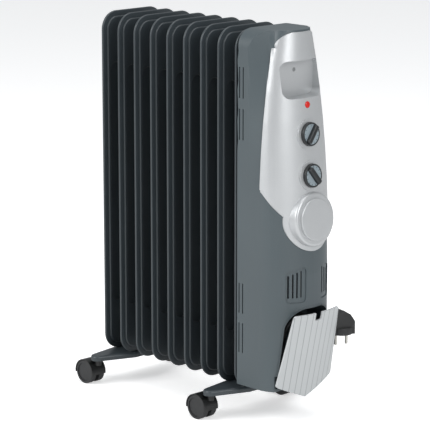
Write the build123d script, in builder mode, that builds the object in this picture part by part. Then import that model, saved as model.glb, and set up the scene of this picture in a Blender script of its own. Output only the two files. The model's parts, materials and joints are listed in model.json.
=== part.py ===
from build123d import *
import os
from math import ceil, cos, pi, radians, sin, sqrt, tan

# Oil filled radiator heater. Nine pressed steel fins stand on two feet with twin wheel casters.
# A control housing closes the front end. It carries a silver panel with two dials and a lamp, and
# a bay at its foot holds the wound mains cord behind a hinged flap.
# Frame: +X runs from the rear fin to the control end, +Z is up, and the floor is Z = 0. Millimetres.

os.makedirs("parts", exist_ok=True)


def write(piece, name):
    """Label a finished piece and write its file."""
    piece.label = name
    export_step(piece, f"parts/{name}.step")


# Fins
fin_count = 9
fin_pitch = 39.5
fin_depth = 135.0
fin_height = 580.0
fin_corner = 30.0
flange_thickness = 4.0
rim_width = 9.0
channel_thickness = 9.0
shoulder_radius = 2.2
sheet_wall = 1.0
press_count = 3
press_width = 26.0
press_pitch = 40.0
press_low = 85.0
press_top = 86.0
press_web = 3.0
header_inset = 45.0
header_bore = 38.0
collar_diameter = 50.0

# Feet and casters
caster_height = 43.0
foot_height = 9.0
foot_wall = 1.6
foot_length = 56.0
foot_root = 100.0
foot_tip_radius = 12.0
foot_crown = 4.0
stem_spread = 192.0
stem_shift = -6.5
stem_diameter = 7.0
bolt_diameter = 5.0
wheel_diameter = 40.0
wheel_width = 11.0
wheel_dish = 1.5
axle_diameter = 6.0
trail = 20.0
hood_wall = 1.6
hood_web = 6.0
wheel_gap = 0.5
running_fit = 0.05
part_gap = 0.3

# Housing
housing_lift = 10.0
housing_rise = 2.0
housing_wall = 3.0
housing_seat = 0.5
side_band = 24.0
nose_start = 49.0
nose_low_depth = 55.0
nose_top_depth = 24.0
nose_top_width = 71.0
lean_height = 200.0
taper_height = 300.0
lean_power = 1.25
taper_power = 2.0
loft_steps = 8
side_slot_width = 2.2
side_slot_length = 49.0
side_slot_pitch = 8.0
side_slot_inset = 4.6
side_slot_heights = (88.0, 153.0, 433.0, 499.0)
vent_inner = 15.5
vent_outer = 47.5
vent_low = 155.0
vent_high = 214.0
vent_slope = 9.0
vent_corner = 7.0
vent_depth = 1.8
vent_slot_count = 4
vent_slot_width = 2.6
vent_slot_pitch = 6.4
vent_slot_margin = 8.0

# Control panel
panel_start = 51.0
panel_thickness = 2.2
panel_top_inset = 3.0
panel_top_corner = 24.0
panel_top_width = 80.0
panel_side_end = 335.0
lobe_height = 286.0
lobe_radius = 50.0
control_tilt = 5.0
grip_low = 476.5
grip_high = 535.0
grip_width = 84.0
grip_floor = 56.5
grip_corner = 13.0
grip_wall = 2.0
lamp_height = 466.0
lamp_diameter = 10.5
thermostat_height = 420.0
selector_height = 355.0
dial_pad_diameter = 48.8
dial_pad_proud = 0.8
knob_diameter = 38.0
knob_skirt = 5.0
knob_bar_height = 6.0
knob_bar_width = 9.0
shaft_diameter = 6.0
bush_diameter = 10.0
control_body = 30.0
control_depth = 24.0
badge_diameter = 67.0
badge_thickness = 3.2
badge_boss_diameter = 86.0
badge_boss_height = 5.4
screw_height = 518.0
screw_head = 7.0

# Cord bay and flap
bay_back = 45.0
bay_low = 14.5
bay_high = 144.0
bay_low_width = 114.0
bay_high_width = 92.0
bay_corner = 36.0
bay_wall = 2.0
lip_end = 76.0
lip_height = 36.0
hinge_inset = 78.0
hinge_height = 20.0
hinge_pin_diameter = 4.0
hinge_ear_spacing = 88.0
hinge_ear_width = 5.0
hinge_knuckle_width = 7.0
hinge_knuckle_diameter = 9.0
flap_tilt = 12.0
flap_front = 14.0
flap_thickness = 3.0
flap_bow_radius = 229.0
flap_top = 123.0
flap_top_width = 100.0
flap_shoulder = 1.0
flap_shoulder_width = 124.0
flap_point = -24.5
flap_corner = 5.0
flap_notch_width = 14.0
flap_notch_depth = 13.0

# Cord
cord_diameter = 7.4
coil_radius = 46.0
coil_step = 9.5
layer_step = 8.3
coil_layers = 4
hub_gap = 1.0
coil_height = 80.0
relief_length = 26.0
relief_diameter = 8.8
relief_neck = 8.2
plug_face_diameter = 38.0
plug_height = 38.0
pin_diameter = 4.8
pin_length = 19.0
pin_spacing = 19.0

# Places that follow from the sizes above
hood_radius = wheel_diameter / 2 + wheel_gap + hood_wall
stack_length = (fin_count - 1) * fin_pitch
seat_face = stack_length + channel_thickness / 2
rear_reach = fin_pitch / 2 + stem_shift - trail - hood_radius
flap_reach = flap_front * cos(radians(flap_tilt)) + flap_top * sin(radians(flap_tilt))
front_reach = seat_face + housing_seat + hinge_inset + flap_reach
stack_start = -(rear_reach + front_reach) / 2
fin_x = [stack_start + index * fin_pitch for index in range(fin_count)]
fin_base = caster_height + foot_height
fin_top = fin_base + fin_height
fin_face = fin_x[-1] + channel_thickness / 2
half_depth = fin_depth / 2
header_low = fin_base + header_inset
header_high = fin_top - header_inset
housing_rear = fin_face + housing_seat
side_edge = housing_rear + side_band
nose_base = housing_rear + nose_start
housing_bottom = fin_base + housing_lift
housing_top = fin_top + housing_rise
lean_start = fin_base + lean_height
taper_start = fin_base + taper_height
hinge_x = housing_rear + hinge_inset
hinge_z = fin_base + hinge_height
coil_z = fin_base + coil_height
bay_back_x = housing_rear + bay_back
coil_inner = coil_radius - coil_step


def nose_half_width(z):
    """Half the width of the nose at its base line, which narrows towards the top."""
    rise = max(0.0, (z - taper_start) / (housing_top - taper_start))
    return half_depth - (half_depth - nose_top_width / 2) * rise**taper_power


def nose_reach(z):
    """How far the nose stands in front of its base line, which leans back towards the top."""
    rise = max(0.0, (z - lean_start) / (housing_top - lean_start))
    return nose_low_depth - (nose_low_depth - nose_top_depth) * rise**lean_power


def nose_section(z, grow, rear):
    """The housing's outline at one height, grown outwards by a wall or a gap."""
    side = half_depth + grow
    width = nose_half_width(z) + grow
    reach = nose_reach(z) + grow
    with BuildSketch(Plane.XY.offset(z)) as section:
        with BuildLine():
            Polyline((nose_base, width), (side_edge, side), (rear, side))
            Line((rear, side), (rear, -side))
            Polyline((rear, -side), (side_edge, -side), (nose_base, -width))
            EllipticalCenterArc((nose_base, 0), reach, width, start_angle=-90, arc_size=90)
            EllipticalCenterArc((nose_base, 0), reach, width, start_angle=0, arc_size=90)
        make_face()
    return section.sketch


def nose_block(grow, bottom, rear):
    """The housing's form as a solid block, grown outwards by a wall or a gap."""
    top = housing_top + grow
    heights = [lean_start + (top - lean_start) * step / loft_steps for step in range(loft_steps + 1)]
    with BuildPart() as block:
        extrude(nose_section(bottom, grow, rear), amount=lean_start - bottom)
        loft(sections=[nose_section(z, grow, rear) for z in heights], ruled=True)
        radius = fin_corner + grow
        corner_y = half_depth - fin_corner
        corner_z = top - radius
        with BuildSketch(Plane.YZ.offset(rear - 1)) as corners:
            for side in (-1, 1):
                with Locations((side * (corner_y + radius), corner_z + radius)):
                    Rectangle(2 * radius, 2 * radius)
                with Locations((side * corner_y, corner_z)):
                    Circle(radius, mode=Mode.SUBTRACT)
        extrude(amount=fin_depth, mode=Mode.SUBTRACT)
    return block.part


def front_plane(z):
    """A plane on the nose's front line, square to the dial axes, with its own +Y upwards."""
    tilt = radians(control_tilt)
    origin = (nose_base + nose_reach(z), 0, z)
    return Plane(origin=origin, x_dir=(0, 1, 0), z_dir=(cos(tilt), 0, sin(tilt)))


# Fins: two pressed sheets welded at the rim, with oil channels round three pressed panels
with BuildPart() as pressed_fin:
    with BuildSketch(Plane.YZ) as rim:
        with Locations((0, fin_base + fin_height / 2)):
            RectangleRounded(fin_depth, fin_height, fin_corner)
    extrude(amount=flange_thickness / 2, both=True)
    fillet(pressed_fin.edges().filter_by(lambda edge: abs(edge.center().X) > 0.4 * flange_thickness),
           radius=0.45 * flange_thickness)
    with BuildSketch(Plane.YZ) as channels:
        with Locations((0, fin_base + fin_height / 2)):
            RectangleRounded(fin_depth - 2 * rim_width, fin_height - 2 * rim_width, fin_corner - rim_width)
    extrude(amount=channel_thickness / 2, both=True)
    channel_faces = pressed_fin.faces().filter_by(Axis.X).group_by(Axis.X)
    fillet(channel_faces[-1].edges() + channel_faces[0].edges(), radius=shoulder_radius)
    press_length = fin_height - press_low - press_top
    press_middle = fin_base + press_low + press_length / 2
    for side in (-1, 1):
        with BuildSketch(Plane.YZ.offset(side * press_web / 2)) as presses:
            with Locations((0, press_middle)):
                with GridLocations(press_pitch, 1, press_count, 1):
                    SlotOverall(press_length, press_width, rotation=90)
        extrude(amount=side * channel_thickness, mode=Mode.SUBTRACT)
    channel_faces = pressed_fin.faces().filter_by(Axis.X).group_by(Axis.X)
    for face in channel_faces[-1] + channel_faces[0]:
        fillet(face.inner_wires().edges(), radius=shoulder_radius / 2)
    with BuildSketch(Plane.YZ) as oil_space:
        with Locations((0, fin_base + fin_height / 2)):
            RectangleRounded(fin_depth - 2 * rim_width - 4 * sheet_wall,
                             fin_height - 2 * rim_width - 4 * sheet_wall, fin_corner - rim_width)
        with Locations((0, press_middle)):
            with GridLocations(press_pitch, 1, press_count, 1):
                SlotOverall(press_length + 4 * sheet_wall, press_width + 4 * sheet_wall, rotation=90,
                            mode=Mode.SUBTRACT)
    extrude(amount=channel_thickness / 2 - sheet_wall, both=True, mode=Mode.SUBTRACT)

for index, x in enumerate(fin_x):
    with BuildPart() as fin:
        add(pressed_fin.part.moved(Location((x, 0, 0))))
        for header in (header_low, header_high):
            if index > 0:
                with BuildSketch(Plane.YZ.offset(x)) as rear_bore:
                    with Locations((0, header)):
                        Circle(header_bore / 2)
                extrude(amount=-channel_thickness, mode=Mode.SUBTRACT)
            if index < fin_count - 1 or header == header_low:
                with BuildSketch(Plane.YZ.offset(x)) as front_bore:
                    with Locations((0, header)):
                        Circle(header_bore / 2)
                extrude(amount=channel_thickness, mode=Mode.SUBTRACT)
    write(fin.part, f"fin_{index + 1}")

# Collars that join the fins at the two headers and let the oil through
for name, header in (("header_collars_low", header_low), ("header_collars_top", header_high)):
    with BuildPart() as collars:
        for x in fin_x[:-1]:
            with BuildSketch(Plane.YZ.offset(x + channel_thickness / 2)) as ring:
                with Locations((0, header)):
                    Circle(collar_diameter / 2)
                    Circle(header_bore / 2, mode=Mode.SUBTRACT)
            extrude(amount=fin_pitch - channel_thickness)
    write(collars.part, name)

# Heating element: a hairpin tube in the lower header, on a flange that closes the last fin
flange_depth = 5.0
element_tube = 8.0
element_spacing = 18.0
element_terminal = 14.0
element_end = fin_x[0] + channel_thickness
with BuildPart() as element:
    with BuildSketch(Plane.YZ.offset(fin_face)) as flange:
        with Locations((0, header_low)):
            Circle(collar_diameter / 2)
    extrude(amount=flange_depth)
    with BuildSketch(Plane.YZ.offset(fin_face + flange_depth)) as terminals:
        with Locations((-element_spacing / 2, header_low), (element_spacing / 2, header_low)):
            Circle(element_tube / 4)
    extrude(amount=element_terminal)
    bend_x = element_end + element_spacing / 2 + element_tube / 2
    with BuildLine() as hairpin:
        Line((fin_face, -element_spacing / 2, header_low), (bend_x, -element_spacing / 2, header_low))
        ThreePointArc((bend_x, -element_spacing / 2, header_low),
                      (bend_x - element_spacing / 2, 0, header_low),
                      (bend_x, element_spacing / 2, header_low))
        Line((bend_x, element_spacing / 2, header_low), (fin_face, element_spacing / 2, header_low))
    with BuildSketch(Plane(origin=hairpin.line @ 0, z_dir=hairpin.line % 0)) as tube:
        Circle(element_tube / 2)
    sweep(path=hairpin.line)
write(element.part, "heating_element")

# Oil filler plug in the upper header
plug_thread = 14.0
with BuildPart() as oil_plug:
    with BuildSketch(Plane.YZ.offset(fin_face)) as hexagon:
        with Locations((0, header_high)):
            RegularPolygon(plug_thread / 2, 6)
    extrude(amount=plug_thread / 2)
write(oil_plug.part, "oil_filler_plug")

# Heat shield: a sheet behind the controls, stood off the last fin on four pressed feet
shield_stand = 5.5
shield_wall = 1.2
shield_low = fin_base + 20.0
shield_high = header_high - collar_diameter / 2
shield_half = half_depth - housing_wall - part_gap
shield_foot = 5.0
shield_foot_low = 150.0
shield_foot_high = 430.0
shield_front = fin_face + shield_stand + shield_wall
with BuildPart() as shield:
    with BuildSketch(Plane.YZ.offset(fin_face + shield_stand)) as sheet:
        with Locations((0, (shield_low + shield_high) / 2)):
            Rectangle(2 * shield_half, shield_high - shield_low)
        with Locations((0, header_low)):
            Circle(collar_diameter / 2 + 2 * part_gap, mode=Mode.SUBTRACT)
    extrude(amount=shield_wall)
    with BuildSketch(Plane.YZ.offset(fin_face)) as feet:
        with Locations((0, fin_base + (shield_foot_low + shield_foot_high) / 2)):
            with GridLocations(press_pitch, shield_foot_high - shield_foot_low, 2, 2):
                Circle(shield_foot)
    extrude(amount=shield_stand)
write(shield.part, "heat_shield")

# Thermal cut-out and terminal block, fixed to the shield
cutout_diameter = 16.0
with BuildPart() as cutout:
    with BuildSketch(Plane.YZ.offset(shield_front)) as disc:
        with Locations((0, shield_low + 100)):
            Circle(cutout_diameter / 2)
    extrude(amount=cutout_diameter / 2)
    with BuildSketch(Plane.YZ.offset(shield_front + cutout_diameter / 2)) as tabs:
        with Locations((0, shield_low + 100)):
            with GridLocations(cutout_diameter / 2, 1, 2, 1):
                Rectangle(1.0, 6.0)
    extrude(amount=cutout_diameter / 2)
write(cutout.part, "thermal_cutout")

terminal_width = 44.0
terminal_height = 20.0
terminal_depth = 16.0
with BuildPart() as terminals_block:
    with BuildSketch(Plane.YZ.offset(shield_front)) as block_face:
        with Locations((0, fin_base + vent_high + terminal_height)):
            RectangleRounded(terminal_width, terminal_height, 2.0)
    extrude(amount=terminal_depth)
    with BuildSketch(Plane.YZ.offset(shield_front + terminal_depth)) as wells:
        with Locations((0, fin_base + vent_high + terminal_height)):
            with GridLocations(terminal_width / 4, terminal_height / 2, 3, 2):
                Circle(2.2)
    extrude(amount=-terminal_depth / 2, mode=Mode.SUBTRACT)
write(terminals_block.part, "terminal_block")


# Feet: pressed trays with a rounded wing on each side, under the end pairs of fins
def foot_plan(x, z, inset):
    """Plan of one foot, drawn in by a wall."""
    root_radius = foot_tip_radius
    with BuildSketch(Plane.XY.offset(z)) as plan:
        with Locations((x + stem_shift, -stem_spread / 2), (x + stem_shift, stem_spread / 2)):
            Circle(foot_tip_radius - inset)
        with Locations((x, 0)):
            with GridLocations(foot_length - 2 * root_radius, foot_root - 2 * root_radius, 2, 2):
                Circle(root_radius - inset)
        make_hull()
    return plan.sketch


foot_places = {"rear": fin_x[0] + fin_pitch / 2, "front": fin_x[-1] - fin_pitch / 2}
bolt_reach = collar_diameter / 2 + part_gap + bolt_diameter / 2
for name, x in foot_places.items():
    with BuildPart() as foot:
        extrude(foot_plan(x, caster_height, 0), amount=foot_height)
        fillet(foot.faces().sort_by(Axis.Z)[-1].edges(), radius=foot_crown)
        extrude(foot_plan(x, caster_height, foot_wall), amount=foot_height - foot_wall, mode=Mode.SUBTRACT)
        with Locations((x, -bolt_reach, fin_base), (x, bolt_reach, fin_base)):
            Hole(radius=bolt_diameter / 2 + part_gap, depth=foot_height)
    write(foot.part, f"foot_{name}")

# U-bolts over the lower collars, and the wing nuts that pull the feet up against the fins
wing_nut_height = 4.5
bolt_end = caster_height + foot_height - foot_wall - wing_nut_height - 2.0
with BuildPart() as u_bolts:
    for x in foot_places.values():
        with BuildLine() as loop:
            Line((x, -bolt_reach, bolt_end), (x, -bolt_reach, header_low))
            ThreePointArc((x, -bolt_reach, header_low), (x, 0, header_low + bolt_reach),
                          (x, bolt_reach, header_low))
            Line((x, bolt_reach, header_low), (x, bolt_reach, bolt_end))
        with BuildSketch(Plane(origin=loop.line @ 0, z_dir=loop.line % 0)) as rod:
            Circle(bolt_diameter / 2)
        sweep(path=loop.line)
write(u_bolts.part, "u_bolts")

with BuildPart() as wing_nuts:
    nut_top = fin_base - foot_wall
    for x in foot_places.values():
        for y in (-bolt_reach, bolt_reach):
            with BuildSketch(Plane.XY.offset(nut_top)) as nut:
                with Locations((x, y)):
                    Circle(bolt_diameter)
                    SlotOverall(4.4 * bolt_diameter, 0.7 * bolt_diameter)
                    Circle(bolt_diameter / 2, mode=Mode.SUBTRACT)
            extrude(amount=-wing_nut_height)
write(wing_nuts.part, "wing_nuts")

# Caster stems, held in sockets welded inside the feet
stem_places = [(x + stem_shift, side * stem_spread / 2)
               for x in foot_places.values() for side in (-1, 1)]
socket_top = fin_base - foot_wall
stem_low = caster_height - part_gap - 8.0
with BuildPart() as sockets:
    with BuildSketch(Plane.XY.offset(caster_height)) as ring:
        with Locations(*stem_places):
            Circle(stem_diameter)
            Circle(stem_diameter / 2, mode=Mode.SUBTRACT)
    extrude(amount=socket_top - caster_height)
write(sockets.part, "stem_sockets")

with BuildPart() as stems:
    with BuildSketch(Plane.XY.offset(stem_low + part_gap)) as rods:
        with Locations(*stem_places):
            Circle(stem_diameter / 2)
    extrude(amount=socket_top - stem_low - part_gap)
write(stems.part, "caster_stems")

# Casters: a hood that swivels on the stem, an axle through its web and two wheels
axle_z = wheel_diameter / 2
wheel_inner = hood_web / 2 + wheel_gap
wheel_outer = wheel_inner + wheel_width
hood_half_width = wheel_outer + wheel_gap
hood_skirt = axle_z - 3.0
axle_half = wheel_outer - 3 * wheel_dish
boss_radius = stem_diameter / 2 + 2.0
caster_names = ("rear_left", "rear_right", "front_left", "front_right")
for name, (stem_x, stem_y) in zip(caster_names, stem_places):
    axle_x = stem_x - trail
    middle = Plane.XZ.offset(-stem_y)
    with BuildPart() as hood:
        with BuildSketch(middle) as cover:
            with Locations((axle_x, axle_z)):
                Circle(hood_radius)
        extrude(amount=hood_half_width, both=True)
        for side in (-1, 1):
            with BuildSketch(middle.offset(side * hood_web / 2)) as well:
                with Locations((axle_x, axle_z)):
                    Circle(wheel_diameter / 2 + wheel_gap)
            extrude(amount=side * hood_half_width, mode=Mode.SUBTRACT)
        split(bisect_by=Plane.XY.offset(hood_skirt), keep=Keep.TOP)
        with BuildSketch(middle) as hub:
            with Locations((axle_x, axle_z)):
                Circle(axle_diameter)
        extrude(amount=hood_web / 2, both=True)
        with BuildSketch(Plane.XY.offset(caster_height - part_gap)) as boss:
            with Locations((stem_x, stem_y)):
                Circle(boss_radius)
        extrude(amount=-9.5)
        with BuildSketch(Plane.XY.offset(caster_height)) as bore:
            with Locations((stem_x, stem_y)):
                Circle(stem_diameter / 2 + running_fit)
        extrude(amount=stem_low - caster_height, mode=Mode.SUBTRACT)
        with BuildSketch(middle) as axle_hole:
            with Locations((axle_x, axle_z)):
                Circle(axle_diameter / 2)
        extrude(amount=hood_half_width, both=True, mode=Mode.SUBTRACT)
    write(hood.part, f"caster_hood_{name}")

    with BuildPart() as axle:
        with BuildSketch(middle) as pin:
            with Locations((axle_x, axle_z)):
                Circle(axle_diameter / 2)
        extrude(amount=axle_half, both=True)
    write(axle.part, f"caster_axle_{name}")

    for side_name, side in (("a", 1), ("b", -1)):
        with BuildPart() as wheel:
            with BuildSketch(middle.offset(side * wheel_inner)) as tread:
                with Locations((axle_x, axle_z)):
                    Circle(wheel_diameter / 2)
            extrude(amount=side * wheel_width)
            fillet(wheel.edges().filter_by(GeomType.CIRCLE), radius=1.2)
            with BuildSketch(middle.offset(side * (wheel_outer - wheel_dish))) as dish:
                with Locations((axle_x, axle_z)):
                    Circle(wheel_diameter / 2 - 4.0)
            extrude(amount=side * wheel_dish, mode=Mode.SUBTRACT)
            with BuildSketch(middle.offset(side * wheel_inner)) as bearing:
                with Locations((axle_x, axle_z)):
                    Circle(axle_diameter / 2 + running_fit)
            extrude(amount=side * (axle_half + part_gap - wheel_inner), mode=Mode.SUBTRACT)
        write(wheel.part, f"wheel_{name}_{side_name}")

# Blocks of the housing's form that the shells below are cut from
outer_block = nose_block(0, housing_bottom, housing_rear)
cavity_block = nose_block(-housing_wall, housing_bottom + housing_wall, housing_rear - 1)
vent_block = nose_block(-vent_depth, housing_bottom, housing_rear - 1)
panel_block = nose_block(panel_thickness, lean_start - 1, housing_rear)
panel_seat_block = nose_block(part_gap, lean_start - 2, housing_rear - 1)


def bay_outline(x, grow):
    """Front outline of the cord bay, grown outwards by a wall or a gap."""
    with BuildSketch(Plane.YZ.offset(x)) as outline:
        with BuildLine():
            Polyline((-bay_low_width / 2, fin_base + bay_low), (bay_low_width / 2, fin_base + bay_low),
                     (bay_high_width / 2, fin_base + bay_high), (-bay_high_width / 2, fin_base + bay_high),
                     close=True)
        make_face()
        fillet(outline.vertices().group_by(Axis.Y)[-1], radius=bay_corner)
        if grow > 0:
            offset(amount=grow)
    return outline.sketch


grip_middle = fin_base + (grip_low + grip_high) / 2
grip_floor_x = housing_rear + grip_floor
nose_end = nose_base + nose_low_depth
notch_low = coil_z + 18.5
notch_high = notch_low + cord_diameter + 3.2
notch_rear = hinge_x - 5.0
lip_x = housing_rear + lip_end
lip_z = fin_base + lip_height


def grip_outline(x, grow):
    """Front outline of the hand grip recess, grown outwards by a wall or a gap."""
    with BuildSketch(Plane.YZ.offset(x)) as outline:
        with Locations((0, grip_middle)):
            RectangleRounded(grip_width + 2 * grow, grip_high - grip_low + 2 * grow, grip_corner + grow)
    return outline.sketch


# Housing: one moulded shell with side slots, two front vents, the bay mouth and the grip opening
with BuildPart() as housing:
    add(outer_block)
    add(cavity_block, mode=Mode.SUBTRACT)
    for height in side_slot_heights:
        for column in range(2):
            slot_x = housing_rear + side_slot_inset + column * side_slot_pitch
            with Locations((slot_x, 0, fin_base + height)):
                Box(side_slot_width, 2 * fin_depth, side_slot_length, mode=Mode.SUBTRACT)
    extrude(bay_outline(bay_back_x - bay_wall - part_gap, bay_wall + part_gap), amount=fin_depth,
            mode=Mode.SUBTRACT)
    with Locations((lip_x + fin_depth / 2, 0, lip_z - fin_depth / 2)):
        Box(fin_depth, 2 * fin_depth, fin_depth, mode=Mode.SUBTRACT)
    extrude(grip_outline(grip_floor_x - grip_wall - part_gap, grip_wall + part_gap), amount=fin_depth,
            mode=Mode.SUBTRACT)
    with Locations((notch_rear + fin_depth / 2, half_depth, (notch_low + notch_high) / 2)):
        Box(fin_depth, fin_depth / 2, notch_high - notch_low, mode=Mode.SUBTRACT)
    for height, bore in ((lamp_height, lamp_diameter / 2 + part_gap),
                         (thermostat_height, bush_diameter / 2 + part_gap),
                         (selector_height, bush_diameter / 2 + part_gap)):
        with BuildSketch(front_plane(fin_base + height)) as control_hole:
            Circle(bore)
        extrude(amount=4 * housing_wall, both=True, mode=Mode.SUBTRACT)
    for side in (-1, 1):
        with BuildSketch(Plane.YZ.offset(nose_base)) as slots:
            for slot in range(vent_slot_count):
                slot_y = side * (vent_inner + vent_slot_margin + slot * vent_slot_pitch)
                slot_top = fin_base + vent_high - vent_slot_margin - slot * vent_slope / vent_slot_count
                slot_low = fin_base + vent_low + vent_slot_margin
                with Locations((slot_y, (slot_top + slot_low) / 2)):
                    Rectangle(vent_slot_width, slot_top - slot_low)
        extrude(amount=fin_depth, mode=Mode.SUBTRACT)


def vent_scoop(side):
    """The shallow scoop round one set of vent slots, cut to its depth below the housing's surface."""
    with BuildPart() as scoop:
        with BuildSketch(Plane.YZ.offset(nose_base)) as outline:
            with BuildLine():
                Polyline((side * vent_inner, fin_base + vent_low), (side * vent_outer, fin_base + vent_low),
                         (side * vent_outer, fin_base + vent_high - vent_slope),
                         (side * vent_inner, fin_base + vent_high), close=True)
            make_face()
            fillet(outline.vertices(), radius=vent_corner)
        extrude(amount=fin_depth)
        add(vent_block, mode=Mode.SUBTRACT)
    return scoop.part


with BuildPart() as vented_housing:
    add(housing.part)
    for side in (-1, 1):
        add(vent_scoop(side), mode=Mode.SUBTRACT)
write(vented_housing.part, "housing")

# Front panel: a silver skin on the nose, with dial pads, the badge boss and the grip tub
with BuildPart() as grip_tub:
    extrude(grip_outline(grip_floor_x - grip_wall, grip_wall), amount=fin_depth)
    add(panel_block, mode=Mode.INTERSECT)

side_end = fin_base + panel_side_end
lobe_z = fin_base + lobe_height
panel_top = housing_top - panel_top_inset
lobe_drop = 8.0
lobe_half = sqrt(lobe_radius**2 - lobe_drop**2)
corner_mid_y = half_depth - 7.0
corner_mid_z = side_end - 25.5
with BuildPart() as panel:
    add(panel_block)
    for height in (thermostat_height, selector_height):
        with BuildSketch(front_plane(fin_base + height)) as pad:
            Circle(dial_pad_diameter / 2)
        extrude(amount=panel_thickness + dial_pad_proud)
        extrude(pad.sketch, amount=-2 * panel_thickness)
    with BuildSketch(front_plane(lobe_z)) as boss:
        Circle(badge_boss_diameter / 2)
    extrude(amount=panel_thickness + badge_boss_height)
    boss_rim = panel.edges().filter_by(GeomType.CIRCLE).sort_by(Axis.X)[-1]
    fillet(boss_rim, radius=0.8 * badge_boss_height)
    extrude(boss.sketch, amount=-4 * panel_thickness)
    add(panel_seat_block, mode=Mode.SUBTRACT)
    with BuildSketch(Plane.YZ.offset(housing_rear + panel_start)) as trim:
        with BuildLine():
            Line((-fin_depth, side_end), (-half_depth, side_end))
            ThreePointArc((-half_depth, side_end), (-corner_mid_y, corner_mid_z),
                          (-lobe_half, lobe_z + lobe_drop))
            ThreePointArc((-lobe_half, lobe_z + lobe_drop), (0, lobe_z - lobe_radius),
                          (lobe_half, lobe_z + lobe_drop))
            ThreePointArc((lobe_half, lobe_z + lobe_drop), (corner_mid_y, corner_mid_z),
                          (half_depth, side_end))
            Polyline((half_depth, side_end), (fin_depth, side_end), (fin_depth, panel_top - panel_top_corner),
                     (-fin_depth, panel_top - panel_top_corner), (-fin_depth, side_end))
        make_face()
        with Locations((0, panel_top - panel_top_width / 2)):
            RectangleRounded(panel_top_width, panel_top_width, panel_top_corner)
    extrude(amount=fin_depth, mode=Mode.INTERSECT)
    add(grip_tub.part)
    extrude(grip_outline(grip_floor_x, 0), amount=fin_depth, mode=Mode.SUBTRACT)
    for height, bore in ((lamp_height, lamp_diameter / 2), (thermostat_height, bush_diameter / 2),
                         (selector_height, bush_diameter / 2)):
        with BuildSketch(front_plane(fin_base + height)) as control_hole:
            Circle(bore + part_gap / 2)
        extrude(amount=4 * panel_thickness, both=True, mode=Mode.SUBTRACT)
    with BuildSketch(Plane.YZ.offset(grip_floor_x)) as screw_hole:
        with Locations((0, fin_base + screw_height)):
            Circle(screw_head / 2)
    extrude(amount=-grip_wall / 2, mode=Mode.SUBTRACT)
write(panel.part, "front_panel")

# Badge disc, bare, on its boss
with BuildPart() as badge:
    with BuildSketch(front_plane(lobe_z).offset(panel_thickness + badge_boss_height)) as disc:
        Circle(badge_diameter / 2)
    extrude(amount=badge_thickness)
    fillet(badge.edges().filter_by(GeomType.CIRCLE).sort_by(Axis.X)[-1], radius=0.4 * badge_thickness)
write(badge.part, "badge_disc")

# Pilot lamp: a domed red lens in front of a lamp holder
lens_proud = panel_thickness + 1.6
lens_depth = 10.0
holder_length = 16.0
lamp_plane = front_plane(fin_base + lamp_height)
with BuildPart() as lens:
    with BuildSketch(lamp_plane.offset(-lens_depth)) as round_lens:
        Circle(lamp_diameter / 2)
    extrude(amount=lens_depth + lens_proud)
    fillet(lens.edges().filter_by(GeomType.CIRCLE).sort_by(Axis.X)[-1], radius=lens_proud / 2)
write(lens.part, "pilot_lens")

with BuildPart() as holder:
    with BuildSketch(lamp_plane.offset(-lens_depth)) as back:
        Circle(lamp_diameter / 2 + 1.5)
    extrude(amount=-holder_length)
write(holder.part, "pilot_lamp_holder")

# Thermostat and power selector: a body behind the nose, a bush through it, a shaft and a knob
body_face = -housing_wall - 1.8
bore_depth = 16.0
knob_base = panel_thickness + dial_pad_proud + part_gap
knob_socket = knob_skirt + knob_bar_height / 3
controls = (("thermostat", thermostat_height, 52.0), ("selector", selector_height, 128.0))
for name, height, bar_angle in controls:
    dial_plane = front_plane(fin_base + height)
    with BuildPart() as control:
        with BuildSketch(dial_plane.offset(body_face)) as body:
            RectangleRounded(control_body, control_body, 3.0)
        extrude(amount=-control_depth)
        with BuildSketch(dial_plane.offset(body_face)) as bush:
            Circle(bush_diameter / 2)
        extrude(amount=panel_thickness - body_face)
        with BuildSketch(dial_plane.offset(panel_thickness)) as bore:
            Circle(shaft_diameter / 2 + running_fit)
        extrude(amount=body_face - bore_depth - panel_thickness, mode=Mode.SUBTRACT)
    write(control.part, f"{name}_body")

    with BuildPart() as shaft:
        with BuildSketch(dial_plane.offset(knob_base + knob_socket)) as rod:
            Circle(shaft_diameter / 2)
        extrude(amount=body_face - bore_depth + part_gap - knob_base - knob_socket)
    write(shaft.part, f"{name}_shaft")

    with BuildPart() as knob:
        with BuildSketch(dial_plane.offset(knob_base)) as skirt:
            Circle(knob_diameter / 2)
        extrude(amount=knob_skirt)
        chamfer(knob.edges().filter_by(GeomType.CIRCLE).sort_by(Axis.X)[-1], length=knob_skirt / 4)
        with BuildSketch(dial_plane.offset(knob_base + knob_skirt)) as bar:
            SlotOverall(knob_diameter - knob_skirt, knob_bar_width, rotation=bar_angle)
        extrude(amount=knob_bar_height)
        with BuildSketch(dial_plane.offset(knob_base)) as socket:
            Circle(shaft_diameter / 2)
        extrude(amount=knob_socket, mode=Mode.SUBTRACT)
    write(knob.part, f"{name}_knob")

# Screw in the floor of the grip recess, into the panel's own floor
with BuildPart() as panel_screw:
    with BuildSketch(Plane.YZ.offset(grip_floor_x - grip_wall / 2)) as head:
        with Locations((0, fin_base + screw_height)):
            Circle(screw_head / 2)
    extrude(amount=grip_wall / 4)
    with BuildSketch(Plane.YZ.offset(grip_floor_x - grip_wall / 4)) as recess:
        with Locations((0, fin_base + screw_height)):
            Rectangle(screw_head / 2, screw_head / 8)
            Rectangle(screw_head / 8, screw_head / 2)
    extrude(amount=-grip_wall / 8, mode=Mode.SUBTRACT)
write(panel_screw.part, "panel_screw")

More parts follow.
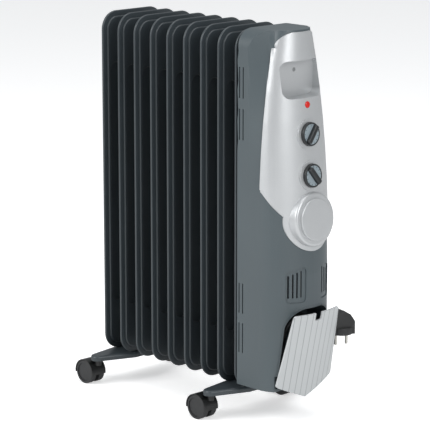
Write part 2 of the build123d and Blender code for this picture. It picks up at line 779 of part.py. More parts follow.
# Cord bay: a tub whose rim ends flush with the nose, with a winding hub and the ears of the hinge
ear_places = [(-1, -hinge_ear_spacing / 2), (1, hinge_ear_spacing / 2)]
with BuildPart() as bay:
    extrude(bay_outline(bay_back_x - bay_wall, bay_wall), amount=fin_depth)
    add(outer_block, mode=Mode.INTERSECT)
    extrude(bay_outline(bay_back_x, 0), amount=fin_depth, mode=Mode.SUBTRACT)
    with Locations((lip_x + fin_depth / 2, 0, lip_z - fin_depth / 2)):
        Box(fin_depth, 2 * fin_depth, fin_depth, mode=Mode.SUBTRACT)
    with Locations((notch_rear + fin_depth / 2, half_depth, (notch_low + notch_high) / 2)):
        Box(fin_depth, fin_depth / 2, notch_high - notch_low, mode=Mode.SUBTRACT)
    for side, y in ear_places:
        with BuildSketch(Plane.XZ.offset(-y)) as ear:
            with Locations((hinge_x, hinge_z)):
                Circle(hinge_knuckle_diameter / 2)
            with Locations((hinge_x - hinge_knuckle_diameter / 2, fin_base + bay_low + hinge_knuckle_diameter / 3)):
                Rectangle(hinge_knuckle_diameter, hinge_knuckle_diameter)
            with Locations((hinge_x, hinge_z)):
                Circle(hinge_pin_diameter / 2, mode=Mode.SUBTRACT)
        extrude(amount=hinge_ear_width / 2, both=True)
write(bay.part, "cord_bay")

hub_radius = coil_inner - cord_diameter / 2 - hub_gap
hub_length = (coil_layers - 1) * layer_step + 2 * cord_diameter / 2 + 1.5
lip_reach = 5.0
lip_thickness = 2.0
with BuildPart() as hub:
    with BuildSketch(Plane.YZ.offset(bay_back_x)) as drum:
        with Locations((0, coil_z)):
            Circle(hub_radius)
            Circle(hub_radius - bay_wall, mode=Mode.SUBTRACT)
    extrude(amount=hub_length)
    with BuildSketch(Plane.YZ.offset(bay_back_x + hub_length)) as lips:
        with Locations((0, coil_z)):
            Rectangle(2 * (hub_radius + lip_reach), 3 * lip_reach)
            Rectangle(3 * lip_reach, 2 * (hub_radius + lip_reach))
            Circle(hub_radius)
    extrude(amount=lip_thickness)
write(hub.part, "winding_hub")

# Hinge pins, pressed into the ears of the bay
pin_length_inner = hinge_ear_width + hinge_knuckle_width
with BuildPart() as hinge_pins:
    for side, y in ear_places:
        outer_y = y + side * hinge_ear_width / 2
        with BuildSketch(Plane.XZ.offset(-outer_y)) as pin:
            with Locations((hinge_x, hinge_z)):
                Circle(hinge_pin_diameter / 2)
        extrude(amount=side * pin_length_inner)
write(hinge_pins.part, "hinge_pins")

# Flap: a bowed plate with a pointed foot and a notch for the cord, leaning out on its hinge
tilt = radians(flap_tilt)
hinge_point = (hinge_x, 0, hinge_z)
flap_plane = Plane(origin=hinge_point, x_dir=(0, 1, 0), z_dir=(cos(tilt), 0, -sin(tilt)))
flap_plan = Plane(origin=hinge_point, x_dir=(0, 1, 0), z_dir=(sin(tilt), 0, cos(tilt)))
bow_center = flap_front - flap_bow_radius
with BuildPart() as flap:
    with BuildSketch(flap_plan.offset(flap_point - 1)) as bow:
        with Locations((0, -bow_center)):
            Circle(flap_bow_radius)
            Circle(flap_bow_radius - flap_thickness, mode=Mode.SUBTRACT)
    extrude(amount=flap_top - flap_point + 2)
    with BuildSketch(flap_plane) as shield_form:
        with BuildLine():
            Polyline((0, flap_point), (flap_shoulder_width / 2, flap_shoulder), (flap_top_width / 2, flap_top),
                     (-flap_top_width / 2, flap_top), (-flap_shoulder_width / 2, flap_shoulder), close=True)
        make_face()
        fillet(shield_form.vertices(), radius=flap_corner)
        with Locations((0, flap_top)):
            RectangleRounded(flap_notch_width, 2 * flap_notch_depth, flap_corner / 2, mode=Mode.SUBTRACT)
    extrude(amount=2 * flap_front, both=True, mode=Mode.INTERSECT)
    for side, y in ear_places:
        knuckle_y = y - side * (hinge_ear_width / 2 + part_gap)
        web_top = hinge_knuckle_diameter / 2
        with BuildSketch(flap_plane) as web:
            with Locations((knuckle_y - side * (hinge_knuckle_width - part_gap) / 2, web_top / 2)):
                Rectangle(hinge_knuckle_width - part_gap, web_top)
        extrude(amount=flap_front - flap_thickness - (y / 2) ** 2 / flap_bow_radius)
        with BuildSketch(Plane.XZ.offset(-knuckle_y)) as barrel:
            with Locations((hinge_x, hinge_z)):
                Circle(hinge_knuckle_diameter / 2)
        extrude(amount=side * (hinge_knuckle_width - part_gap))
        with BuildSketch(Plane.XZ.offset(-knuckle_y)) as bearing:
            with Locations((hinge_x, hinge_z)):
                Circle(hinge_pin_diameter / 2 + running_fit)
        extrude(amount=side * hinge_knuckle_width, mode=Mode.SUBTRACT)
write(flap.part, "bay_flap")

# Strain relief on the floor of the bay, where the cord comes in
coil_x = bay_back_x + cord_diameter / 2 + 0.8
relief_low = fin_base + bay_low
with BuildPart() as relief:
    with BuildSketch(Plane.XY.offset(relief_low)) as foot_ring:
        with Locations((coil_x, -coil_radius)):
            Circle(relief_diameter / 2)
    with BuildSketch(Plane.XY.offset(relief_low + relief_length)) as neck:
        with Locations((coil_x, -coil_radius)):
            Circle(relief_neck / 2)
    loft()
write(relief.part, "strain_relief")


# Cord: wound on the hub in layers that spiral in and out, then led out beside the flap to its plug
def coil_point(turn):
    """Place and direction on the winding after a number of turns, clockwise seen from the front."""
    layer_turn = 1.5
    layer = min(int(turn / layer_turn), coil_layers - 1)
    part = turn - layer * layer_turn
    wound = min(part, 1.0)
    climb = max(part - 1.0, 0.0) * 2
    inward = layer % 2 == 0
    radius = coil_radius - coil_step * wound if inward else coil_inner + coil_step * wound
    growth = 0.0 if climb > 0 or part >= 1.0 else (-coil_step if inward else coil_step)
    rise = 3 * climb**2 - 2 * climb**3
    rise_rate = 12 * (climb - climb**2)
    angle = pi - 2 * pi * turn
    place = Vector(coil_x + (layer + rise) * layer_step, radius * cos(angle), coil_z + radius * sin(angle))
    run = Vector(layer_step * rise_rate,
                 growth * cos(angle) + 2 * pi * radius * sin(angle),
                 growth * sin(angle) - 2 * pi * radius * cos(angle))
    return place, run.normalized()


def biarc_joint(start, start_run, end, end_run):
    """Where two tangent arcs meet between two places with given directions."""
    span = end - start
    both = start_run + end_run
    a = 2 * (1 - start_run.dot(end_run))
    b = span.dot(both)
    c = span.dot(span)
    reach = (-b + sqrt(b * b + a * c)) / a if a > 1e-9 else c / (4 * span.dot(end_run))
    return (start + start_run * reach + end - end_run * reach) * 0.5


turns_total = 1.5 * (coil_layers - 1) + 300.0 / 360.0
quarter_turns = ceil(turns_total * 4)
stations = [min(step / 4, turns_total) for step in range(quarter_turns + 1)]
with BuildLine() as winding:
    place, run = coil_point(0.0)
    Line((place.X, place.Y, relief_low + relief_length), place)
    for turn in stations[1:]:
        next_place, next_run = coil_point(turn)
        joint = biarc_joint(place, run, next_place, next_run)
        first_arc = TangentArc(place, joint, tangent=run)
        TangentArc(joint, next_place, tangent=first_arc % 1)
        place, run = next_place, next_run
    coil_end = place + run * cord_diameter
    Line(place, coil_end)
with BuildPart() as coil:
    with BuildSketch(Plane(origin=winding.line @ 0, z_dir=winding.line % 0)) as section:
        Circle(cord_diameter / 2)
    sweep(path=winding.line)
write(coil.part, "cord_coil")

coil_length = sum(edge.length for edge in winding.edges())
round_area = pi * cord_diameter**2 / 4
print("coil length", round(coil_length, 1), "volume over section times length",
      round(coil.part.volume / (round_area * coil_length), 4))
samples = [coil_point(turns_total * step / 480)[0] for step in range(481)]
apart = ceil(480 / turns_total / 3)
least = min((samples[i] - samples[j]).length for i in range(481) for j in range(i + apart, 481))
print("least gap of the coil to itself", round(least - cord_diameter, 2))

# Lead: from the winding through the notch in the rim of the bay to the plug
first_run = 10.3
lead_start = coil_end + run * part_gap
lead_places = [lead_start, lead_start + run * first_run, Vector(195.3, 49.8, 156.3),
               Vector(199.8, 61.2, 156.3)]
lead_radii = []
for before, corner, after in zip(lead_places, lead_places[1:], lead_places[2:]):
    bend = radians((corner - before).get_angle(after - corner))
    shorter = min((corner - before).length, (after - corner).length)
    lead_radii.append(0.45 * shorter / tan(bend / 2))
print("lead radii", [round(radius, 1) for radius in lead_radii])
with BuildLine() as lead_path:
    FilletPolyline(*lead_places, radius=lead_radii)
with BuildPart() as lead:
    with BuildSketch(Plane(origin=lead_path.line @ 0, z_dir=lead_path.line % 0)) as section:
        Circle(cord_diameter / 2)
    sweep(path=lead_path.line)
write(lead.part, "cord_lead")
lead_length = sum(edge.length for edge in lead_path.edges())
print("lead length", round(lead_length, 1), "volume over section times length",
      round(lead.part.volume / (round_area * lead_length), 4))

# Plug: an angled moulded body with its two pins downwards
plug_width = 26.0
plug_low = -20.0
plug_disc = 12.0
plug_start = lead_places[-1]
plug_out = (plug_start - lead_places[-2]).normalized()
plug_across = plug_out.cross(Vector(0, 0, 1))
plug_side = Plane(origin=plug_start, x_dir=plug_out, z_dir=plug_across)
plug_center = plug_start + plug_out * (plug_face_diameter / 2)
plug_base = Plane(origin=plug_center + Vector(0, 0, plug_low), x_dir=plug_out, z_dir=(0, 0, 1))
with BuildPart() as plug:
    with BuildSketch(plug_side) as profile:
        with BuildLine():
            Polyline((0, plug_low), (plug_face_diameter, plug_low), (plug_face_diameter, plug_low + 21),
                     (plug_face_diameter - 8, plug_low + 33), (plug_face_diameter / 2, plug_low + plug_height),
                     (0, plug_low + plug_height - 4), close=True)
        make_face()
    extrude(amount=plug_width / 2, both=True)
    with BuildSketch(plug_base) as face:
        Circle(plug_face_diameter / 2)
    extrude(amount=plug_disc)
write(plug.part, "plug_body")

with BuildPart() as pins:
    with BuildSketch(plug_base) as pin_face:
        with GridLocations(pin_spacing, 1, 2, 1):
            Circle(pin_diameter / 2)
    extrude(amount=-pin_length)
    fillet(pins.edges().filter_by(GeomType.CIRCLE).group_by(Axis.Z)[0], radius=pin_diameter / 3)
write(pins.part, "plug_pins")
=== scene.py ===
import bpy
import bmesh
import json
from math import cos, pi, radians, sin
from mathutils import Matrix, Vector


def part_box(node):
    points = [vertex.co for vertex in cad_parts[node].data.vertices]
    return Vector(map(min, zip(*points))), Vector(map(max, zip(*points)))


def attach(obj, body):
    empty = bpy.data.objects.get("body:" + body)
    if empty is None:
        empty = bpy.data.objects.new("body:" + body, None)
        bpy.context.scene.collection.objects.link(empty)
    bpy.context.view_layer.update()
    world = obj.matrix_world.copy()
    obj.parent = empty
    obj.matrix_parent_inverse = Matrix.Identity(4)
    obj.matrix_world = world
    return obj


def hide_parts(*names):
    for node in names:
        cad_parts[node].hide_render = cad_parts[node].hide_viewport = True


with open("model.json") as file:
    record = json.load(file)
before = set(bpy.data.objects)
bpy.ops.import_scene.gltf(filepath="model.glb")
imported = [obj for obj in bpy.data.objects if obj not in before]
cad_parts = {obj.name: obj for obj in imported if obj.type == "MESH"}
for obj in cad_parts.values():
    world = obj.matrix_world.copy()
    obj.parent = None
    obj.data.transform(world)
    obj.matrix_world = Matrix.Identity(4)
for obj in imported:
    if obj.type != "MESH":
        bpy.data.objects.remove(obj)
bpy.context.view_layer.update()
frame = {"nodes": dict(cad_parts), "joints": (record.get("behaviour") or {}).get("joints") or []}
nodes = frame["nodes"]


# Floor: a pale seamless studio sweep. It is matt paper, so it takes a soft shadow under the
# casters and fades into the white background.
def srgb(code):
    """A hex colour as linear values with alpha."""
    parts = [int(code[i:i + 2], 16) / 255 for i in (1, 3, 5)]
    return [p / 12.92 if p <= 0.04045 else ((p + 0.055) / 1.055) ** 2.4 for p in parts] + [1.0]


def add(tree, kind, inputs={}, **settings):
    """Add a node, give it its settings, and set or link its inputs."""
    made = tree.nodes.new(kind)
    for name, value in settings.items():
        setattr(made, name, value)
    for name, value in inputs.items():
        if isinstance(value, bpy.types.NodeSocket):
            tree.links.new(value, made.inputs[name])
        else:
            made.inputs[name].default_value = value
    return made


def new_material(name):
    """An empty node material and its tree."""
    material = bpy.data.materials.new(name)
    material.use_nodes = True
    material.node_tree.nodes.clear()
    return material, material.node_tree


def keep_mesh(shape, name, *materials):
    """Turn a finished bmesh into an object at the origin, with its materials."""
    bmesh.ops.recalc_face_normals(shape, faces=shape.faces)
    mesh = bpy.data.meshes.new(name)
    shape.to_mesh(mesh)
    shape.free()
    piece = bpy.data.objects.new(name, mesh)
    bpy.context.collection.objects.link(piece)
    for material in materials:
        mesh.materials.append(material)
    return piece


paper, tree = new_material("studio_paper")
surface = add(tree, "ShaderNodeBsdfPrincipled", {"Base Color": srgb("#f7f7f7"), "Roughness": 0.9,
                                                 "Specular IOR Level": 0.1})
glow = add(tree, "ShaderNodeEmission", {"Color": srgb("#ffffff"), "Strength": 0.45})
seen = add(tree, "ShaderNodeLightPath")
lit = add(tree, "ShaderNodeMixShader", {0: seen.outputs["Is Camera Ray"], 1: surface.outputs[0]})
both = add(tree, "ShaderNodeAddShader", {0: surface.outputs[0], 1: glow.outputs[0]})
tree.links.new(both.outputs[0], lit.inputs[2])
add(tree, "ShaderNodeOutputMaterial", {"Surface": lit.outputs[0]})
floor_half = 12.0
shape = bmesh.new()
bmesh.ops.create_grid(shape, x_segments=1, y_segments=1, size=floor_half)
floor = keep_mesh(shape, "floor", paper)

# Background and light: an even white surround, a large soft box on the left, a weaker one towards
# the control end and a third from above, as in a product shot.
world = bpy.data.worlds.new("studio")
bpy.context.scene.world = world
world.use_nodes = True
tree = world.node_tree
tree.nodes.clear()
ray = add(tree, "ShaderNodeLightPath")
direct = add(tree, "ShaderNodeMath", {0: ray.outputs["Is Camera Ray"],
                                      1: ray.outputs["Is Transmission Ray"]}, operation="MAXIMUM")
ambient = add(tree, "ShaderNodeBackground", {"Color": srgb("#f2f5f8"), "Strength": 0.42})
white = add(tree, "ShaderNodeBackground", {"Color": srgb("#ffffff"), "Strength": 1.0})
mixed = add(tree, "ShaderNodeMixShader", {0: direct.outputs[0], 1: ambient.outputs[0], 2: white.outputs[0]})
add(tree, "ShaderNodeOutputWorld", {"Surface": mixed.outputs[0]})
aim_point = Vector((0.0, 0.0, 0.32))
for name, place, size, power in (("softbox_left", (-1.0, -3.2, 2.2), 2.4, 95.0),
                                 ("softbox_front", (3.2, -0.6, 1.9), 1.8, 58.0),
                                 ("softbox_top", (0.2, 0.3, 3.0), 2.2, 34.0)):
    lamp = bpy.data.lights.new(name, "AREA")
    lamp.shape = "SQUARE"
    lamp.size = size
    lamp.energy = power
    holder = bpy.data.objects.new(name, lamp)
    holder.location = place
    aim = aim_point - Vector(place)
    holder.rotation_euler = aim.to_track_quat("-Z", "Y").to_euler()
    bpy.context.collection.objects.link(holder)

# Camera: a long lens from the left of the control end, above the heater's top. Its place and turn
# were fitted to the edges of the fins.
camera = bpy.data.cameras.new("camera")
camera.lens = 182.87
camera.sensor_width = 36.0
camera.sensor_fit = "HORIZONTAL"
camera.clip_end = 50.0
stand = bpy.data.objects.new("camera", camera)
stand.location = (2.5223, -2.4214, 1.0821)
yaw = radians(43.777)
pitch = radians(12.449)
sight = Vector((-cos(pitch) * cos(yaw), cos(pitch) * sin(yaw), -sin(pitch)))
stand.rotation_euler = sight.to_track_quat("-Z", "Y").to_euler()
bpy.context.collection.objects.link(stand)
bpy.context.scene.camera = stand
bpy.context.scene.view_settings.view_transform = "Standard"


# Mains cord: a black rubber sheathed cord, wound on the hub behind the flap in four layers and led
# out through the notch in the rim to the plug. Its sheath is extruded, smooth and matt.
def dress(material, *names):
    """Give CAD pieces a material."""
    for name in names:
        nodes[name].material_slots[0].material = material


rubber, tree = new_material("extruded_black_rubber")
spot = add(tree, "ShaderNodeTexCoord")
dust = add(tree, "ShaderNodeTexNoise", {"Vector": spot.outputs["Object"], "Scale": 220.0, "Detail": 3.0})
tone = add(tree, "ShaderNodeMix", {0: dust.outputs["Fac"], 6: srgb("#0f1011"), 7: srgb("#1a1b1c")},
           data_type="RGBA")
dent = add(tree, "ShaderNodeBump", {"Height": dust.outputs["Fac"], "Strength": 0.08, "Distance": 0.0004})
skin = add(tree, "ShaderNodeBsdfPrincipled", {"Base Color": tone.outputs[2], "Roughness": 0.55,
                                              "IOR": 1.52, "Normal": dent.outputs[0]})
add(tree, "ShaderNodeOutputMaterial", {"Surface": skin.outputs[0]})

cord_diameter = 0.0074
coil_center = (0.16579, 0.0, 0.132)
outer_radius = 0.046
spiral_step = 0.0095
layer_step = 0.0083
layer_count = 4
layer_turns = 1.5
last_turn = 300 / 360
turn_count = layer_turns * (layer_count - 1) + last_turn
steps_per_turn = 24
route = [(coil_center[0], -outer_radius, height) for height in (0.0925, 0.1055, 0.1185)]
for step in range(int(turn_count * steps_per_turn) + 1):
    turn = step / steps_per_turn
    layer = min(int(turn / layer_turns), layer_count - 1)
    wound = min(turn - layer * layer_turns, 1.0)
    climb = max(turn - layer * layer_turns - 1.0, 0.0) * 2
    inward = spiral_step * wound if layer % 2 == 0 else spiral_step * (1 - wound)
    radius = (outer_radius - inward) / cos(pi / steps_per_turn)
    rise = layer + 3 * climb**2 - 2 * climb**3
    angle = pi - 2 * pi * turn
    route.append((coil_center[0] + rise * layer_step, radius * cos(angle),
                  coil_center[2] + radius * sin(angle)))
route += [(0.1907, 0.0290, 0.1669), (0.1909, 0.0384, 0.1619), (0.1953, 0.0498, 0.1563),
          (0.1998, 0.0612, 0.1563)]
line = bpy.data.curves.new("mains_cord", "CURVE")
line.dimensions = "3D"
line.bevel_depth = cord_diameter / 2
line.bevel_resolution = 5
line.resolution_u = 4
strand = line.splines.new("NURBS")
strand.points.add(len(route) - 1)
for point, place in zip(strand.points, route):
    point.co = (*place, 1.0)
strand.order_u = 3
strand.use_endpoint_u = True
cord = bpy.data.objects.new("mains_cord", line)
bpy.context.collection.objects.link(cord)
line.materials.append(rubber)
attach(cord, "heater")
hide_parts("cord_coil", "cord_lead")

# Strain relief: a moulded rubber sleeve that stands on the floor of the bay and grips the cord. Five
# grooves let it bend.
shape = bmesh.new()
low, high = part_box("strain_relief")
sleeve_x = (low[0] + high[0]) / 2
sleeve_y = (low[1] + high[1]) / 2
sleeve_length = high[2] - low[2]
sleeve_bore = 0.0039
collar_radius = 0.0044
collar_height = 0.006
groove_radius = 0.0040
ridge_radius = 0.0043
groove_count = 5
first_groove = 0.007
ring_pitch = 0.0034
groove_width = 0.0012
ridge_from, ridge_to = 0.0018, 0.0030
mouth_outer, mouth_inner = 0.0041, 0.0038
profile = [(sleeve_bore, 0.0), (collar_radius, 0.0), (collar_radius, collar_height)]
for ring in range(groove_count):
    start = first_groove + ring * ring_pitch
    profile += [(groove_radius, start), (groove_radius, start + groove_width)]
    profile += [(ridge_radius, start + ridge_from), (ridge_radius, start + ridge_to)]
profile += [(mouth_outer, sleeve_length), (mouth_inner, sleeve_length)]
spun = [shape.verts.new((sleeve_x + r, sleeve_y, low[2] + z)) for r, z in profile]
rim = [shape.edges.new(pair) for pair in zip(spun, spun[1:])]
bmesh.ops.spin(shape, geom=spun + rim, cent=(sleeve_x, sleeve_y, 0), axis=(0, 0, 1), angle=2 * pi,
               steps=32, use_merge=True)
bmesh.ops.remove_doubles(shape, verts=shape.verts, dist=0.00001)
bmesh.ops.holes_fill(shape, edges=shape.edges, sides=0)
sleeve = keep_mesh(shape, "cord_sleeve", rubber)
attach(sleeve, "heater")
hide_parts("strain_relief")

# Plug: an angled mains plug moulded in black PVC round its two plated pins. The mould leaves
# rounded edges and a fine spark-eroded texture.
vinyl, tree = new_material("moulded_black_pvc")
spot = add(tree, "ShaderNodeTexCoord")
grit = add(tree, "ShaderNodeTexNoise", {"Vector": spot.outputs["Object"], "Scale": 900.0, "Detail": 2.0})
dent = add(tree, "ShaderNodeBump", {"Height": grit.outputs["Fac"], "Strength": 0.12, "Distance": 0.0003})
skin = add(tree, "ShaderNodeBsdfPrincipled", {"Base Color": srgb("#141516"), "Roughness": 0.46,
                                              "IOR": 1.53, "Normal": dent.outputs[0]})
add(tree, "ShaderNodeOutputMaterial", {"Surface": skin.outputs[0]})
plated, tree = new_material("nickel_plated_brass")
spot = add(tree, "ShaderNodeTexCoord")
turned = add(tree, "ShaderNodeTexNoise", {"Vector": spot.outputs["Object"], "Scale": 1400.0, "Detail": 2.0})
wear = add(tree, "ShaderNodeMapRange", {"Value": turned.outputs["Fac"], "To Min": 0.22, "To Max": 0.36})
skin = add(tree, "ShaderNodeBsdfPrincipled", {"Base Color": srgb("#b8b6b0"), "Metallic": 1.0,
                                              "Roughness": wear.outputs[0]})
add(tree, "ShaderNodeOutputMaterial", {"Surface": skin.outputs[0]})
shape = bmesh.new()
shape.from_mesh(nodes["plug_body"].data)
bmesh.ops.remove_doubles(shape, verts=shape.verts, dist=0.00002)
bmesh.ops.dissolve_limit(shape, angle_limit=radians(2), verts=shape.verts, edges=shape.edges)
crisp = [edge for edge in shape.edges if edge.is_manifold and edge.calc_face_angle(0) > radians(24)]
bmesh.ops.bevel(shape, geom=crisp, offset=0.0016, offset_type="OFFSET", segments=3, profile=0.5,
                affect="EDGES", clamp_overlap=True, material=-1)
plug = keep_mesh(shape, "plug_moulding", vinyl)
for face in plug.data.polygons:
    face.use_smooth = True
plug.modifiers.new("edges", "EDGE_SPLIT").split_angle = radians(35)
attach(plug, "heater")
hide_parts("plug_body")
dress(plated, "plug_pins")

# Fins, collars and feet: pressed steel in one dark slate enamel, sprayed and baked. The spray dries
# with a faint orange peel and a satin gloss.
enamel, tree = new_material("baked_slate_enamel")
spot = add(tree, "ShaderNodeTexCoord")
cloud = add(tree, "ShaderNodeTexNoise", {"Vector": spot.outputs["Object"], "Scale": 9.0, "Detail": 3.0})
peel = add(tree, "ShaderNodeTexNoise", {"Vector": spot.outputs["Object"], "Scale": 420.0, "Detail": 2.0})
tone = add(tree, "ShaderNodeMix", {0: cloud.outputs["Fac"], 6: srgb("#33393d"), 7: srgb("#3a4145")},
           data_type="RGBA")
gloss = add(tree, "ShaderNodeMapRange", {"Value": cloud.outputs["Fac"], "To Min": 0.30, "To Max": 0.40})
dent = add(tree, "ShaderNodeBump", {"Height": peel.outputs["Fac"], "Strength": 0.05, "Distance": 0.0005})
skin = add(tree, "ShaderNodeBsdfPrincipled", {"Base Color": tone.outputs[2], "Roughness": gloss.outputs[0],
                                              "IOR": 1.5, "Normal": dent.outputs[0]})
add(tree, "ShaderNodeOutputMaterial", {"Surface": skin.outputs[0]})
dress(enamel, *[f"fin_{number}" for number in range(1, 10)], "header_collars_low", "header_collars_top",
      "foot_rear", "foot_front")

# Steel inside and under the heater: zinc plated sheet, rods, screws and nuts. The plating is dull and
# slightly clouded.
zinc, tree = new_material("zinc_plated_steel")
spot = add(tree, "ShaderNodeTexCoord")
cloud = add(tree, "ShaderNodeTexNoise", {"Vector": spot.outputs["Object"], "Scale": 160.0, "Detail": 4.0})
tone = add(tree, "ShaderNodeMix", {0: cloud.outputs["Fac"], 6: srgb("#8d8f90"), 7: srgb("#b4b6b6")},
           data_type="RGBA")
gloss = add(tree, "ShaderNodeMapRange", {"Value": cloud.outputs["Fac"], "To Min": 0.32, "To Max": 0.5})
skin = add(tree, "ShaderNodeBsdfPrincipled", {"Base Color": tone.outputs[2], "Metallic": 1.0,
                                              "Roughness": gloss.outputs[0]})
add(tree, "ShaderNodeOutputMaterial", {"Surface": skin.outputs[0]})
corners = ("rear_left", "rear_right", "front_left", "front_right")
dress(zinc, "heating_element", "oil_filler_plug", "heat_shield", "thermal_cutout", "u_bolts", "wing_nuts",
      "stem_sockets", "caster_stems", "thermostat_shaft", "selector_shaft", "panel_screw", "hinge_pins",
      *[f"caster_axle_{corner}" for corner in corners])

# Terminal block, lamp holder and the bodies of the two controls: cream glass filled nylon, moulded,
# with a faint fleck from the glass.
nylon, tree = new_material("cream_filled_nylon")
spot = add(tree, "ShaderNodeTexCoord")
fleck = add(tree, "ShaderNodeTexNoise", {"Vector": spot.outputs["Object"], "Scale": 600.0, "Detail": 3.0})
tone = add(tree, "ShaderNodeMix", {0: fleck.outputs["Fac"], 6: srgb("#d3cdbd"), 7: srgb("#e0dbcd")},
           data_type="RGBA")
skin = add(tree, "ShaderNodeBsdfPrincipled", {"Base Color": tone.outputs[2], "Roughness": 0.6, "IOR": 1.53})
add(tree, "ShaderNodeOutputMaterial", {"Surface": skin.outputs[0]})
dress(nylon, "terminal_block", "pilot_lamp_holder", "thermostat_body", "selector_body")

# Casters: hoods and wheels moulded in black nylon. The hood is glossy from the tool, the wheels are
# a charcoal shade duller and dusty on the tread.
hood_black, tree = new_material("black_caster_nylon")
spot = add(tree, "ShaderNodeTexCoord")
grit = add(tree, "ShaderNodeTexNoise", {"Vector": spot.outputs["Object"], "Scale": 500.0, "Detail": 2.0})
dent = add(tree, "ShaderNodeBump", {"Height": grit.outputs["Fac"], "Strength": 0.06, "Distance": 0.0004})
skin = add(tree, "ShaderNodeBsdfPrincipled", {"Base Color": srgb("#131414"), "Roughness": 0.36, "IOR": 1.53,
                                              "Normal": dent.outputs[0]})
add(tree, "ShaderNodeOutputMaterial", {"Surface": skin.outputs[0]})
tread_black, tree = new_material("charcoal_wheel_nylon")
spot = add(tree, "ShaderNodeTexCoord")
dust = add(tree, "ShaderNodeTexNoise", {"Vector": spot.outputs["Object"], "Scale": 130.0, "Detail": 4.0})
tone = add(tree, "ShaderNodeMix", {0: dust.outputs["Fac"], 6: srgb("#1d1e1f"), 7: srgb("#2a2b2c")},
           data_type="RGBA")
skin = add(tree, "ShaderNodeBsdfPrincipled", {"Base Color": tone.outputs[2], "Roughness": 0.52, "IOR": 1.53})
add(tree, "ShaderNodeOutputMaterial", {"Surface": skin.outputs[0]})
dress(hood_black, *[f"caster_hood_{corner}" for corner in corners])
for corner in corners:
    dress(tread_black, f"wheel_{corner}_a", f"wheel_{corner}_b")

# Control housing, bay and hub: slate grey ABS, moulded with a fine satin texture. The housing covers
# the end fin and holds the bay.
slate, tree = new_material("moulded_slate_abs")
spot = add(tree, "ShaderNodeTexCoord")
cloud = add(tree, "ShaderNodeTexNoise", {"Vector": spot.outputs["Object"], "Scale": 7.0, "Detail": 2.0})
grit = add(tree, "ShaderNodeTexNoise", {"Vector": spot.outputs["Object"], "Scale": 700.0, "Detail": 2.0})
tone = add(tree, "ShaderNodeMix", {0: cloud.outputs["Fac"], 6: srgb("#444d51"), 7: srgb("#4b5559")},
           data_type="RGBA")
dent = add(tree, "ShaderNodeBump", {"Height": grit.outputs["Fac"], "Strength": 0.10, "Distance": 0.0004})
skin = add(tree, "ShaderNodeBsdfPrincipled", {"Base Color": tone.outputs[2], "Roughness": 0.42, "IOR": 1.53,
                                              "Normal": dent.outputs[0]})
add(tree, "ShaderNodeOutputMaterial", {"Surface": skin.outputs[0]})
dress(slate, "housing", "cord_bay", "winding_hub")

# Front panel and badge: ABS sprayed with silver lacquer. Fine metal flake in the lacquer gives a
# satin sheen that follows the curve of the nose.
silver, tree = new_material("silver_lacquered_abs")
spot = add(tree, "ShaderNodeTexCoord")
flake = add(tree, "ShaderNodeTexNoise", {"Vector": spot.outputs["Object"], "Scale": 1500.0, "Detail": 2.0})
tone = add(tree, "ShaderNodeMix", {0: flake.outputs["Fac"], 6: srgb("#b4b6b8"), 7: srgb("#c8cacb")},
           data_type="RGBA")
dent = add(tree, "ShaderNodeBump", {"Height": flake.outputs["Fac"], "Strength": 0.06, "Distance": 0.0003})
skin = add(tree, "ShaderNodeBsdfPrincipled", {"Base Color": tone.outputs[2], "Metallic": 0.55,
                                              "Roughness": 0.38, "Normal": dent.outputs[0]})
add(tree, "ShaderNodeOutputMaterial", {"Surface": skin.outputs[0]})
dress(silver, "front_panel", "badge_disc")

# Pilot lens: red acrylic with a polished face, pushed into the panel in front of the lamp holder. The
# lamp is off.
acrylic, tree = new_material("red_acrylic")
spot = add(tree, "ShaderNodeTexCoord")
ripple = add(tree, "ShaderNodeTexNoise", {"Vector": spot.outputs["Object"], "Scale": 800.0, "Detail": 1.0})
tone = add(tree, "ShaderNodeMix", {0: ripple.outputs["Fac"], 6: srgb("#b3160f"), 7: srgb("#d2241b")},
           data_type="RGBA")
skin = add(tree, "ShaderNodeBsdfPrincipled", {"Base Color": tone.outputs[2], "Roughness": 0.16, "IOR": 1.49})
add(tree, "ShaderNodeOutputMaterial", {"Surface": skin.outputs[0]})
dress(acrylic, "pilot_lens")

# Flap: light grey ABS on two hinge pins at its foot. Thin upright grooves run across its bowed face,
# drawn in the material as bump lines, with painted shade darkening each groove.
pale, tree = new_material("light_grey_abs")
spot = add(tree, "ShaderNodeTexCoord")
axis = add(tree, "ShaderNodeSeparateXYZ", {0: spot.outputs["Object"]})
groove_pitch = 0.0125
near = add(tree, "ShaderNodeMath", {0: axis.outputs["Y"], 1: groove_pitch / 2}, operation="PINGPONG")
groove_and_painted_shade = add(tree, "ShaderNodeMapRange", {"Value": near.outputs[0], "From Min": 0.0003, "From Max": 0.0008})
# The groove mask darkens the grey inside each groove: this is painted shade, not a different colour of the
# plastic.
tone = add(tree, "ShaderNodeMix", {0: groove_and_painted_shade.outputs[0], 6: srgb("#8b8e90"), 7: srgb("#b6b9ba")},
           data_type="RGBA")
dent = add(tree, "ShaderNodeBump", {"Height": groove_and_painted_shade.outputs[0], "Strength": 0.5, "Distance": 0.0006})
skin = add(tree, "ShaderNodeBsdfPrincipled", {"Base Color": tone.outputs[2], "Roughness": 0.42, "IOR": 1.53,
                                              "Normal": dent.outputs[0]})
add(tree, "ShaderNodeOutputMaterial", {"Surface": skin.outputs[0]})
dress(pale, "bay_flap")

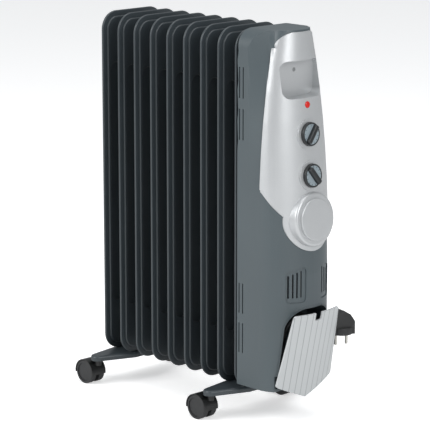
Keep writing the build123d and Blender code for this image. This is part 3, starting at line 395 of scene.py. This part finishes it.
# Knobs: black ABS skirts with a pale printed dial face, a ring of ticks and a raised pointer bar.
# Each is pushed on its shaft and turns with it.
black_abs, tree = new_material("black_satin_abs")
spot = add(tree, "ShaderNodeTexCoord")
grit = add(tree, "ShaderNodeTexNoise", {"Vector": spot.outputs["Object"], "Scale": 900.0, "Detail": 2.0})
dent = add(tree, "ShaderNodeBump", {"Height": grit.outputs["Fac"], "Strength": 0.08, "Distance": 0.0003})
skin = add(tree, "ShaderNodeBsdfPrincipled", {"Base Color": srgb("#1b1e20"), "Roughness": 0.38, "IOR": 1.53,
                                              "Normal": dent.outputs[0]})
add(tree, "ShaderNodeOutputMaterial", {"Surface": skin.outputs[0]})
printed, tree = new_material("pale_printed_abs")
spot = add(tree, "ShaderNodeTexCoord")
fleck = add(tree, "ShaderNodeTexNoise", {"Vector": spot.outputs["Object"], "Scale": 1200.0, "Detail": 2.0})
tone = add(tree, "ShaderNodeMix", {0: fleck.outputs["Fac"], 6: srgb("#7f8b92"), 7: srgb("#8f9ba1")},
           data_type="RGBA")
skin = add(tree, "ShaderNodeBsdfPrincipled", {"Base Color": tone.outputs[2], "Roughness": 0.45, "IOR": 1.53})
add(tree, "ShaderNodeOutputMaterial", {"Surface": skin.outputs[0]})
dial_tilt = radians(5.0)
seat_height = 0.0033
skirt_radius, skirt_top_radius, skirt_height = 0.019, 0.0186, 0.005
skirt_edge = 0.0011
face_inset, face_sink = 0.0016, 0.0003
tick_count = 11
first_tick, tick_angle = 40, 28
long_tick, short_tick = 0.0032, 0.0022
tick_width, tick_height = 0.0006, 0.0003
tick_ring, tick_level = 0.0143, 0.0048
bar_length, bar_width, bar_height = 0.032, 0.0085, 0.0062
bar_foot = 0.0047
bar_edge = 0.0022
crown_level, skirt_level = 0.009, 0.0051
outward = Vector((cos(dial_tilt), 0, sin(dial_tilt)))
upward = Vector((-sin(dial_tilt), 0, cos(dial_tilt)))
for name, body, bar_angle in (("thermostat_knob", "thermostat_dial", 52.0),
                              ("selector_knob", "selector_dial", 128.0)):
    joint = next(j for j in frame["joints"] if j["child"] == body)
    turn = Matrix((Vector((0, 1, 0)), upward, outward)).transposed().to_4x4()
    turn.translation = Vector(joint["pos_m"]) + outward * seat_height
    shape = bmesh.new()
    made = bmesh.ops.create_cone(shape, cap_ends=True, segments=64, radius1=skirt_radius,
                                 radius2=skirt_top_radius, depth=skirt_height)
    bmesh.ops.translate(shape, verts=made["verts"], vec=(0, 0, skirt_height / 2))
    top_face = max(shape.faces, key=lambda face: face.calc_center_median().z)
    bmesh.ops.bevel(shape, geom=top_face.edges[:], offset=skirt_edge, offset_type="OFFSET", segments=3,
                    profile=0.5, affect="EDGES", material=-1)
    top_face = max(shape.faces, key=lambda face: (round(face.calc_center_median().z, 6), face.calc_area()))
    bmesh.ops.inset_region(shape, faces=[top_face], thickness=face_inset, depth=-face_sink)
    top_face.material_index = 1
    for tick in range(tick_count):
        spoke = Matrix.Rotation(radians(bar_angle + first_tick + tick * tick_angle), 3, "Z")
        mark = bmesh.ops.create_cube(shape, size=1.0)["verts"]
        tick_length = long_tick if tick % 2 == 0 else short_tick
        bmesh.ops.scale(shape, verts=mark, vec=(tick_length, tick_width, tick_height))
        bmesh.ops.translate(shape, verts=mark, vec=(tick_ring, 0, tick_level))
        bmesh.ops.rotate(shape, verts=mark, cent=(0, 0, 0), matrix=spoke)
    bar = bmesh.ops.create_cube(shape, size=1.0)["verts"]
    bmesh.ops.scale(shape, verts=bar, vec=(bar_length, bar_width, bar_height))
    bmesh.ops.translate(shape, verts=bar, vec=(0, 0, bar_foot + bar_height / 2))
    bar_edges = {edge for vert in bar for edge in vert.link_edges}
    crown = [edge for edge in bar_edges if all(vert.co.z > crown_level for vert in edge.verts)]
    upright = [edge for edge in bar_edges
               if abs(edge.verts[0].co.z - edge.verts[1].co.z) > bar_height / 2]
    rounded = bmesh.ops.bevel(shape, geom=crown + upright, offset=bar_edge, offset_type="OFFSET", segments=4,
                              profile=0.5, affect="EDGES", material=-1)
    bar = {vert for vert in shape.verts if vert.co.z > skirt_level} | {vert for vert in bar if vert.is_valid}
    bar |= set(rounded["verts"])
    bmesh.ops.rotate(shape, verts=list(bar), cent=(0, 0, 0),
                     matrix=Matrix.Rotation(radians(bar_angle), 3, "Z"))
    bmesh.ops.transform(shape, verts=shape.verts, matrix=turn)
    knob = keep_mesh(shape, name + "_dial", black_abs, printed)
    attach(knob, body)
    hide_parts(name)
